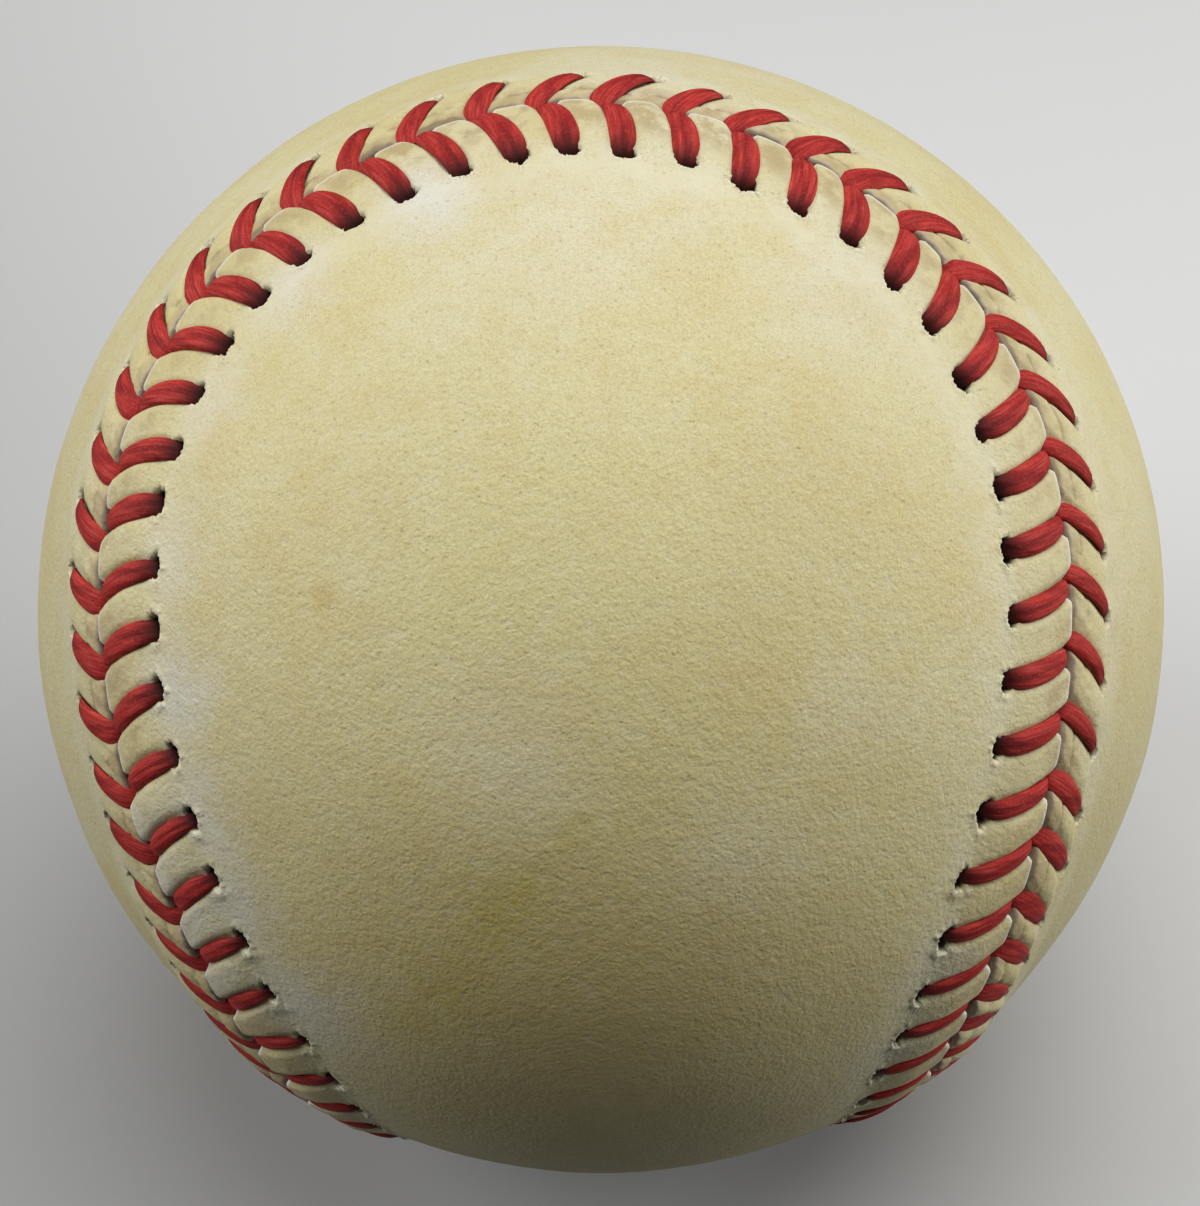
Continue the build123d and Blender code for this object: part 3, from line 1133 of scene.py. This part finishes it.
@dataclass(frozen=True)
class LeatherFinish:
    """Yellowed, grained cowhide, cleaner beside the holes and soiled on the tabs; shade is painted in the
    pits, the valleys, the crease and the gap, and some patches hold painted sheen and shade.
    """

    viewpoint: Viewpoint
    name: str
    tab_soil: float = 0.75
    # strength of the painted shade in the gap beside the seam, under the other panel's lip
    gap_shade: float = 0.0
    slot: str = "leather"
    cream: Colour = (0.82, 0.745, 0.425)
    straw: Colour = (0.78, 0.680, 0.330)
    pale: Colour = (0.86, 0.825, 0.650)
    white: Colour = (0.86, 0.845, 0.745)
    stain: Colour = (0.66, 0.490, 0.160)
    yellow: Colour = (0.80, 0.690, 0.230)
    streak: Colour = (0.68, 0.550, 0.130)
    pore: Colour = (0.42, 0.34, 0.15)
    # soil and grime also serve as painted shade beside the seam, in the valleys under the legs and along the
    # crease
    soil_and_shade: Colour = (0.52, 0.39, 0.20)
    grime_and_shade: Colour = (0.20, 0.13, 0.06)
    cut_edge: Colour = (0.94, 0.91, 0.80)
    torn_edge: Colour = (0.90, 0.85, 0.67)
    warm: Colour = (0.76, 0.600, 0.240)
    shadow: Colour = (0.035, 0.020, 0.012)

    tan_shift: Place = (31.0, 17.0, 5.0)
    pebble_warp: Place = (0.5, 0.5, 0.5)
    band_pale: float = 0.45
    pore_dark: float = 0.42
    gap_edge: float = 0.7
    mark_unevenness: float = 1.1
    relief_height: float = 0.058
    roughness: float = 0.50
    specular: float = 0.34
    handled_mark: Mark = Mark((610, 110), 30.0, 0.85)
    # yellow patches; the large one over the lower half is yellowing and partly painted shade
    yellow_marks: tuple[Mark, ...] = (Mark((580, 960), 34.0, 0.60), Mark((600, 420), 16.0, 0.25))
    # pale patches; those on the upper side are partly a painted sheen
    pale_marks: tuple[Mark, ...] = (
        Mark((600, 215), 15.0, 0.55), Mark((830, 270), 8.0, 0.50), Mark((640, 75), 14.0, 0.60),
        Mark((510, 765), 7.0, 0.40), Mark((735, 870), 7.0, 0.35), Mark((850, 700), 6.0, 0.25),
    )
    stain_marks: tuple[Mark, ...] = (
        Mark((325, 597), 1.10, 0.95), Mark((480, 848), 0.70, 0.60), Mark((715, 462), 0.60, 0.50),
        Mark((420, 850), 0.80, 0.45), Mark((560, 1010), 19.0, 0.50), Mark((415, 960), 4.5, 0.25),
        Mark((870, 310), 3.0, 0.25), Mark((690, 275), 4.0, 0.18), Mark((790, 440), 10.0, 0.16),
        Mark((450, 380), 5.0, 0.12), Mark((760, 640), 9.0, 0.12),
    )
    streak_marks: tuple[Mark, ...] = (
        Mark((579, 824), 1.1, 0.70), Mark((568, 842), 0.9, 0.60), Mark((558, 856), 0.9, 0.55),
        Mark((547, 870), 1.0, 0.55), Mark((531, 888), 1.6, 0.60), Mark((512, 905), 2.6, 0.75),
        Mark((488, 930), 2.2, 0.65), Mark((464, 968), 2.4, 0.90), Mark((444, 998), 2.4, 0.85),
        Mark((412, 1022), 2.5, 0.70), Mark((500, 910), 5.5, 0.40), Mark((455, 985), 5.0, 0.40),
    )
    white_marks: tuple[Mark, ...] = (
        Mark((425, 200), 5.0, 0.90), Mark((300, 285), 4.5, 0.60), Mark((215, 400), 4.0, 0.45),
        Mark((175, 560), 3.6, 0.45), Mark((178, 690), 4.5, 0.75), Mark((205, 810), 4.5, 0.75),
        Mark((240, 905), 4.6, 0.68), Mark((150, 835), 4.5, 0.80), Mark((180, 905), 4.5, 0.85),
        Mark((218, 968), 4.5, 0.85), Mark((310, 1010), 6.2, 0.66), Mark((940, 960), 4.5, 0.35),
        Mark((890, 1050), 5.0, 0.35),
    )

    def _spread(self, sheet: ShaderSheet, mark: Mark, places: Wire, ragged: Wire) -> Wire:
        """How strong a mark is at places on the ball, from 0 to its strength.

        Args:
            sheet: the leather's tree.
            mark: the mark.
            places: places on the ball, in millimetres.
            ragged: noise that makes its outline uneven.

        Returns:
            Its strength.
        """
        away = sheet.vector("DISTANCE", {0: places, 1: tuple(self.viewpoint.on_ball(mark.pixel))}, "Value")
        uneven = (ragged - 0.5) * (self.mark_unevenness * mark.radius)
        return (away + uneven).step(mark.radius, 0.0, mark.strength)

    def material(self) -> bpy.types.Material:
        """Make the leather.

        Returns:
            The material.
        """
        sheet = ShaderSheet(bpy.data.materials.new(self.name))
        places = sheet.places()
        blotch = sheet.noise(places, 0.09, 4.0, 0.55)
        cloud = sheet.noise(places, 0.22, 3.0, 0.55)
        mottle = sheet.noise(places, 0.55, 4.0, 0.6)
        tan = sheet.noise(sheet.vector("ADD", {0: places, 1: self.tan_shift}), 1.1, 3.0, 0.65)
        grain = sheet.noise(places, 3.2, 3.0, 0.7)
        fleck = sheet.noise(places, 8.5, 2.0, 0.6)
        swirl = sheet.noise(places, 2.4, out="Color")
        pebbles = sheet.cells(sheet.vector("MULTIPLY_ADD", {0: swirl, 1: self.pebble_warp, 2: places}), 3.2)
        speckle = (1 - sheet.cells(places, 2.1)).step(0.72, 0.92) * grain.step(0.42, 0.58)
        distance, edge, pit, rim, tab, valley, fold = (sheet.mask(name) for name in CoverPanel.MASKS)
        beside = distance.step(3.2, 4.6) * distance.step(8.6, 5.0) * mottle.step(0.25, 0.65)
        rough = 1 - (tab + beside).step(0.1, 0.9, 0.62)
        soiled = tab * distance.step(3.8, 1.6) * (1 - mottle.step(0.60, 0.40, 0.75))
        handled = tab * distance.step(3.4, 1.8) * mottle.step(0.38, 0.56)

        def marked(marks: tuple[Mark, ...], tint: Colour, ragged: Wire) -> list[tuple[Wire, Colour]]:
            """Layers of soft marks in one tint."""
            return [(self._spread(sheet, mark, places, ragged), tint) for mark in marks]

        layers = (
            # yellow patches, over the lower half partly painted shade
            *marked(self.yellow_marks, self.yellow, blotch),
            # pale patches, on the upper side partly a painted sheen
            *marked(self.pale_marks, self.pale, blotch),
            (beside * self.band_pale, self.pale),
            *marked(self.stain_marks, self.stain, mottle),
            *marked(self.streak_marks, self.streak, mottle),
            (soiled * self.tab_soil, self.soil_and_shade),
            *marked(self.white_marks, self.white, mottle),
            (handled * self._spread(sheet, self.handled_mark, places, blotch), self.soil_and_shade),
            (rough * tan.step(0.46, 0.76, 0.26), self.warm),
            (rough * tan.step(0.52, 0.26, 0.22), self.pale),
            (rough * cloud.step(0.46, 0.68, 0.38), self.warm),
            (rough * speckle * self.pore_dark, self.pore),
            (rough * grain.step(0.44, 0.74, 0.14), self.pore),
            (rough * grain.step(0.54, 0.28, 0.14), self.pale),
            (rough * fleck.step(0.42, 0.74, 0.30), self.pore),
            (rough * fleck.step(0.56, 0.28, 0.30), self.pale),
            # grime and painted shade in the valleys where the legs press into the leather
            (valley * distance.step(4.6, 3.6, 0.65), self.grime_and_shade),
            (rim.step(0.25, 0.70, 0.85) * fleck.step(0.58, 0.44), self.torn_edge),
            (rim.step(0.15, 0.60, 0.70) * fleck.step(0.58, 0.66), self.grime_and_shade),
            (edge, self.cut_edge),
            # painted shade in the gap under the front panel's lip: a brown band, then a dark line at the seam
            (distance.step(1.7, 0.9, self.gap_edge * self.gap_shade), self.soil_and_shade),
            (distance.step(0.95, 0.62, self.gap_shade), self.grime_and_shade),
            # grime and painted shade along the strip's crease
            (fold.step(0.35, 0.95, 0.4) * mottle.step(0.44, 0.56), self.grime_and_shade),
            (pit.step(0.06, 0.45), self.shadow),
        )
        colour = sheet.mix(blotch.step(0.38, 0.66), self.cream, self.straw)
        for factor, tint in layers:
            colour = sheet.mix(factor, colour, tint)
        relief = sheet.weigh(
            (0.7, grain), (0.3, 1 - speckle), (0.5, mottle), (0.2, fleck), (1.2, tan), (0.45, 1 - pebbles)
        )
        roughness = sheet.weigh((0.16, grain), (0.2, pit)) + self.roughness
        normal = sheet.bump(relief, self.relief_height)
        return sheet.finish(colour, roughness, normal, Specular_IOR_Level=self.specular)


@dataclass(frozen=True)
class ThreadFinish:
    """Worn red waxed thread: fibres along each leg, with painted shade where it dives into its hole, at its
    seam end and in its grooves.
    """

    slot: str = "red_thread"
    red: Colour = (0.48, 0.025, 0.021)
    bright: Colour = (0.72, 0.094, 0.074)
    # a darker red for the fibres, also used as painted shade in the grooves and at the seam end
    deep: Colour = (0.20, 0.009, 0.010)
    # painted shade where the thread dives into its hole
    hole: Colour = (0.030, 0.006, 0.005)

    # strength of the painted shade in the twist grooves
    ply_groove_shade: float = 0.40
    tone_dark: float = 0.20
    relief_height: float = 0.055
    roughness: float = 0.62
    specular: float = 0.22

    def material(self) -> bpy.types.Material:
        """Make the thread's finish.

        Returns:
            The material.
        """
        sheet = ShaderSheet(bpy.data.materials.new(self.slot))
        along, sideways, tone = (sheet.mask(name) for name in SeamThread.MASKS)
        lane = sheet.weigh((5.0, sideways), (5.0, along))
        run = sheet.weigh((3.2, along), (90.0, tone))
        lanes = sheet.node("ShaderNodeCombineXYZ", {}, {"X": lane, "Y": run})
        fibres = sheet.noise(lanes, 1.15, 3.0, 0.6)
        strands = sheet.noise(lanes, 0.55)
        fuzz = sheet.noise(sheet.places(), 6.0)
        ply = sheet.weigh((1.7, sideways), (11.0, along), (6.0, tone)).sine().step(0.45, 1.0)
        layers = (
            # painted shade in the twist grooves and in the groove down the middle of each leg
            (ply * self.ply_groove_shade, self.deep),
            ((sideways * sideways).step(0.10, 0.0, 0.75) * along.step(0.62, 0.30), self.deep),
            (strands.step(0.52, 0.34, 0.5), self.deep),
            (tone * self.tone_dark, self.deep),
            (fuzz.step(0.52, 0.72, 0.35), self.bright),
            (fuzz.step(0.48, 0.28, 0.35), self.deep),
            # painted shade where the thread dives into its hole and, at the other end, under the lip at the
            # seam
            (along.step(0.40, 0.13), self.hole),
            (along.step(0.78, 0.92, 0.65), self.deep),
        )
        colour = sheet.mix(fibres.step(0.38, 0.74), self.red, self.bright)
        for factor, tint in layers:
            colour = sheet.mix(factor, colour, tint)
        relief = sheet.weigh((0.6, fibres), (0.4, strands), (0.25, fuzz), (0.7, 1 - ply))
        roughness = sheet.weigh((0.2, fuzz)) + self.roughness
        normal = sheet.bump(relief, self.relief_height)
        return sheet.finish(colour, roughness, normal, Specular_IOR_Level=self.specular)


@dataclass(frozen=True)
class GrainFinish:
    """Mottled moulded stuff, such as pressed cork, rubber or dried cement."""

    slot: str
    light: Colour
    dark: Colour
    grains: float
    mottling: float
    relief: float
    roughness: float
    cloud_size: float = 0.35

    def material(self) -> bpy.types.Material:
        """Make the finish.

        Returns:
            The material.
        """
        sheet = ShaderSheet(bpy.data.materials.new(self.slot))
        places = sheet.places()
        grain = sheet.cells(places, self.grains)
        tint = sheet.node("ShaderNodeSeparateColor", {}, {0: sheet.cells(places, self.grains, "Color")})
        cloud = sheet.noise(places, self.grains * self.cloud_size, 3.0, 0.6)
        spots = sheet.weigh((0.6, tint), (0.5, cloud)) * self.mottling
        relief = sheet.weigh((0.6, 1 - grain), (0.4, cloud))
        roughness = sheet.weigh((0.15, cloud)) + self.roughness
        colour = sheet.mix(spots, self.light, self.dark)
        return sheet.finish(colour, roughness, sheet.bump(relief, self.relief))


@dataclass(frozen=True)
class YarnFinish:
    """Wound yarn: turns that cross each other in many directions."""

    slot: str
    light: Colour
    dark: Colour
    yarn_width: float
    swings: tuple[Place, ...] = ((0.2, 0.34, 0.4), (1.3, 2.21, 0.4), (2.5, 4.25, 0.4))
    turns_per_width: float = 0.31
    fibres_per_width: float = 4.0
    relief_share: float = 0.25
    roughness: float = 0.85

    def material(self) -> bpy.types.Material:
        """Make the finish.

        Returns:
            The material.
        """
        sheet = ShaderSheet(bpy.data.materials.new(self.slot))
        places = sheet.places()
        settings = {"wave_type": "BANDS", "bands_direction": "Z"}
        wave = {"Scale": self.turns_per_width / self.yarn_width, "Distortion": 0.6, "Detail": 2.0}
        layers = []
        for swing in self.swings:
            swung = sheet.node("ShaderNodeMapping", {}, {"Vector": places, "Rotation": swing})
            layers.append(sheet.node("ShaderNodeTexWave", settings, {"Vector": swung, **wave}, "Fac"))
        patch = sheet.noise(places, 0.16, 1.0)
        chosen = sheet.mix(patch.step(0.45, 0.5), layers[0], layers[1])
        chosen = sheet.mix(patch.step(0.56, 0.6), chosen, layers[2])
        turns = sheet.node("ShaderNodeSeparateColor", {}, {0: chosen})
        fibre = sheet.noise(places, self.fibres_per_width / self.yarn_width, 3.0, 0.7)
        # darker between the turns, painted shade in the grooves, and with the fibres
        spots = turns.step(0.55, 0.1, 0.8) + sheet.weigh((0.2, fibre))
        relief = sheet.weigh((0.8, turns), (0.3, fibre))
        roughness = sheet.weigh((0.1, fibre)) + self.roughness
        colour = sheet.mix(spots, self.light, self.dark)
        return sheet.finish(colour, roughness, sheet.bump(relief, self.yarn_width * self.relief_share))


@dataclass(frozen=True)
class InnerLayers:
    """The pill, the windings and the cement, which keep their meshes under the cover."""

    finishes: tuple[GrainFinish | YarnFinish, ...] = (
        GrainFinish("cork", (0.56, 0.37, 0.20), (0.16, 0.08, 0.04), 0.9, 0.9, 0.10, 0.75),
        GrainFinish("black_rubber", (0.040, 0.040, 0.042), (0.018, 0.018, 0.018), 2.2, 0.7, 0.03, 0.55),
        GrainFinish("red_rubber", (0.46, 0.075, 0.050), (0.27, 0.035, 0.025), 1.8, 0.6, 0.03, 0.55),
        GrainFinish("cement", (0.74, 0.62, 0.38), (0.50, 0.36, 0.17), 0.7, 0.7, 0.05, 0.35),
        YarnFinish("grey_wool", (0.46, 0.46, 0.45), (0.16, 0.16, 0.16), 1.2),
        YarnFinish("white_wool", (0.82, 0.80, 0.74), (0.42, 0.40, 0.34), 1.0),
        YarnFinish("white_cotton", (0.86, 0.85, 0.80), (0.50, 0.47, 0.40), 0.5),
    )

    def dress(self) -> None:
        """Give every inner node the finish of its slot."""
        made = {finish.slot: finish.material() for finish in self.finishes}
        for part in frame["record"]["subparts"]:
            if part["material_slot"] not in made:
                continue
            node = frame["nodes"][part["node"]]
            if not node.material_slots:
                node.data.materials.append(None)
            for slot in node.material_slots:
                slot.material = made[part["material_slot"]]
            log.info("%s: %s", part["node"], part["material_slot"])


@dataclass(frozen=True)
class Lamp:
    """One soft round lamp that points at the ball; its place and size are in metres."""

    name: str
    place: Place
    size: float
    power: float

    def add(self) -> None:
        """Hang the lamp."""
        deselect_all()
        bpy.ops.object.light_add(type="AREA", location=self.place)
        lamp = bpy.context.object
        lamp.name = self.name
        lamp.data.shape = "DISK"
        lamp.data.size = self.size
        lamp.data.energy = self.power
        lamp.rotation_euler = Vector(self.place).to_track_quat("Z", "Y").to_euler()


@dataclass(frozen=True)
class Studio:
    """Pale floor with painted shade on one side, soft lamps and a pale surround."""

    floor_size: float = 6.0
    floor_colour: Colour = (0.78, 0.78, 0.775)
    floor_shade: float = 0.56
    shade_slant: Place = (1.2, 0.85, 0.0)
    shade_reach: float = 120.0
    surround: Colour = (0.62, 0.62, 0.62)
    far_reach: Span = (180.0, 520.0)
    ambient: Colour = (0.02, 0.02, 0.02)
    floor_bounce: Colour = (0.03, 0.03, 0.03)
    dark: Colour = (0.0, 0.0, 0.0)
    cloth_scale: float = 0.02
    cloth_relief: float = 0.02
    floor_roughness: float = 0.9
    floor_specular: float = 0.1
    lamps: tuple[Lamp, ...] = (
        Lamp("overhead_lamp", (0.12, 0.01, 0.55), 0.50, 2.2),
        Lamp("right_lamp", (0.52, 0.0, 0.14), 0.32, 1.3),
        Lamp("left_lamp", (-0.45, 0.0, 0.30), 0.45, 1.6),
    )

    def _floor_finish(self) -> bpy.types.Material:
        """Make the floor's finish: shaded on one side, and fading into the surround far away.

        Returns:
            The material.
        """
        sheet = ShaderSheet(bpy.data.materials.new("floor"))
        places = sheet.places()
        shade = tuple(value * self.floor_shade for value in self.floor_colour)
        slant = sheet.vector("DOT_PRODUCT", {0: places, 1: self.shade_slant}, "Value")
        colour = sheet.mix(slant.step(self.shade_reach, -self.shade_reach), self.floor_colour, shade)
        seen = sheet.ray("Is Camera Ray")
        colour = sheet.mix(seen + sheet.ray("Is Glossy Ray"), self.floor_bounce, colour)
        far = sheet.vector("LENGTH", {0: places}, "Value").step(*self.far_reach)
        return sheet.finish(
            sheet.mix(far, colour, self.floor_bounce),
            self.floor_roughness,
            sheet.bump(sheet.noise(places, self.cloth_scale), self.cloth_relief),
            Specular_IOR_Level=self.floor_specular,
            Emission_Color=sheet.mix(far * seen, self.dark, self.surround),
            Emission_Strength=1.0,
        )

    def build(self) -> None:
        """Set the floor, the lamps and the surround."""
        deselect_all()
        bpy.ops.mesh.primitive_plane_add(size=self.floor_size, location=(0, 0, -BALL_RADIUS * MM))
        floor = bpy.context.object
        floor.name = "floor"
        bpy.ops.object.transform_apply(location=True)
        floor.data.materials.append(self._floor_finish())
        for lamp in self.lamps:
            lamp.add()
        sheet = ShaderSheet(bpy.data.worlds.new("surround"))
        sky = sheet.mix(sheet.ray("Is Camera Ray"), self.ambient, self.surround)
        sheet.end(sheet.node("ShaderNodeBackground", {}, {"Color": sky}), "ShaderNodeOutputWorld")
        bpy.context.scene.world = sheet.owner


def main() -> None:
    """Build the cover, the lacing, the finishes inside and the studio."""
    logging.basicConfig(level=logging.INFO, format="%(name)s: %(message)s")
    bpy.context.scene.view_settings.view_transform = "Standard"
    viewpoint = Viewpoint()
    seam = Seam()
    lacing = Lacing(seam)
    front_panel = CoverPanel(Side.FRONT, seam, lacing, FRONT_LEG, "leather_front", "cover_panel_front")
    front_leather = LeatherFinish(viewpoint, "leather_front")
    back_panel = CoverPanel(
        Side.BACK, seam, lacing, BACK_LEG, "leather_back", "cover_panel_back",
        lift=0.40, lift_at_lip=0.6, lift_flat=4.0, lift_end=8.0, lip_reach=0.50, lip_pull=0.62,
        pillow=0.14, crease=0.05, plump=(Zone(88.5, 4.0, 0.18),), seed=6,
        hole=HoleShape(along=0.40, across=0.34, shift=0.16, rim_height=0.07, flaps=()),
    )
    back_leather = LeatherFinish(
        # the back panel gets painted shade in the gap beside the seam
        viewpoint, "leather_back", tab_soil=0.85, gap_shade=0.75,
        handled_mark=Mark((610, 110), 30.0, 0.2),
        white_marks=(Mark((425, 200), 5.0, 0.90), Mark((300, 285), 4.5, 0.60)),
    )
    thread = ThreadFinish()
    first_run = SeamThread(Side.FRONT, seam, lacing, "thread_run_first", "seam_thread_first")
    second_run = SeamThread(Side.BACK, seam, lacing, "thread_run_second", "seam_thread_second", seed=18)
    parts = (front_panel, back_panel, first_run, second_run)
    for part, finish in zip(parts, (front_leather, back_leather, thread, thread)):
        piece = part.build()
        part.dress(piece, finish)
        triangles = sum(len(face.vertices) - 2 for face in piece.data.polygons)
        log.info("%s: %d triangles", piece.name, triangles)
    InnerLayers().dress()
    Studio().build()
    viewpoint.camera()


if __name__ == "__main__":
    main()
